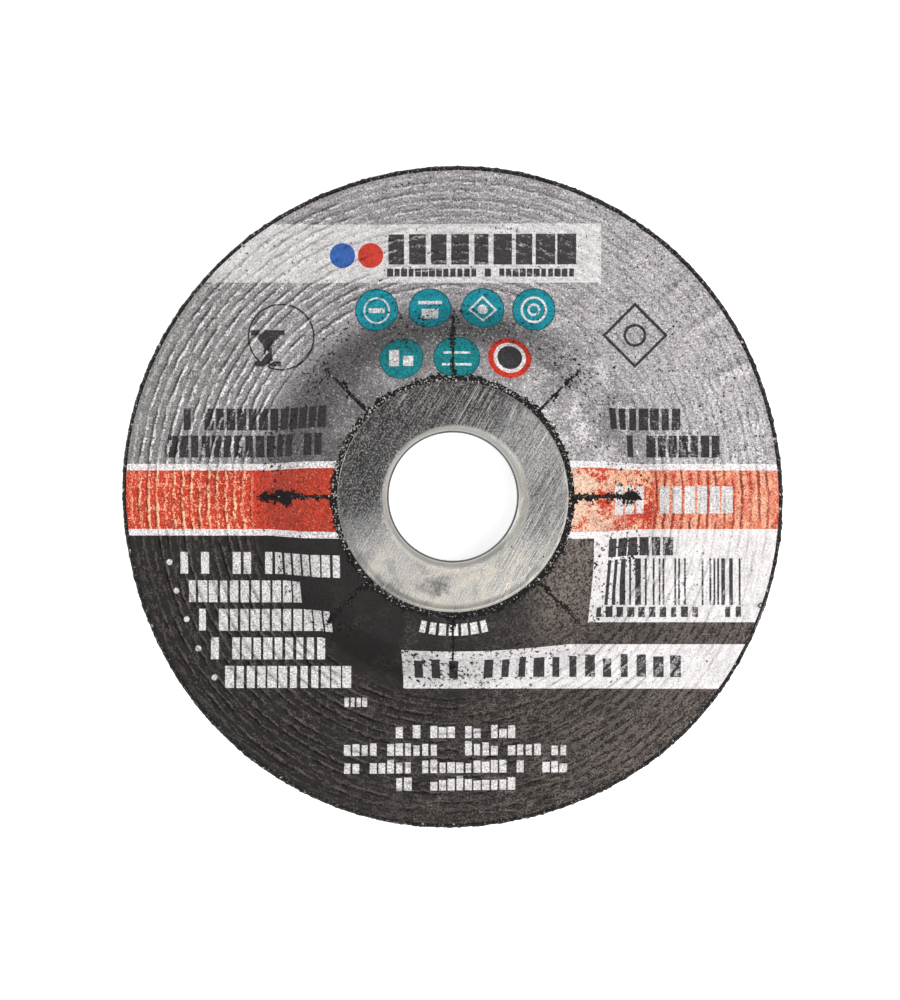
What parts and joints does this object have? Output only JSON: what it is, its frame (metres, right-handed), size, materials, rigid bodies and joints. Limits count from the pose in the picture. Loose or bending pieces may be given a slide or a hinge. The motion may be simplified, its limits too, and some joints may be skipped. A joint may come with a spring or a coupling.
{
  "type": "grinding disc",
  "caption": "Round abrasive disc with a raised hub, a steel ring lining its bore, and a slit paper label pressed into its rippled back.",
  "frame": {"origin": "on the axis of the bore, in the plane of the grinding face that the disc lies on", "axes": "+Z along the bore's axis, out of the labelled back; +X to the right and +Y up as the label's print reads"},
  "size_m": [0.115, 0.115, 0.0108],
  "materials": {
    "abrasive": "matte",
    "label_paper": "satin",
    "ring_steel": "satin"
  },
  "bodies": {
    "root": {"abrasive_body": "abrasive", "paper_label": "label_paper", "centre_ring": "ring_steel"}
  },
  "joints": []
}
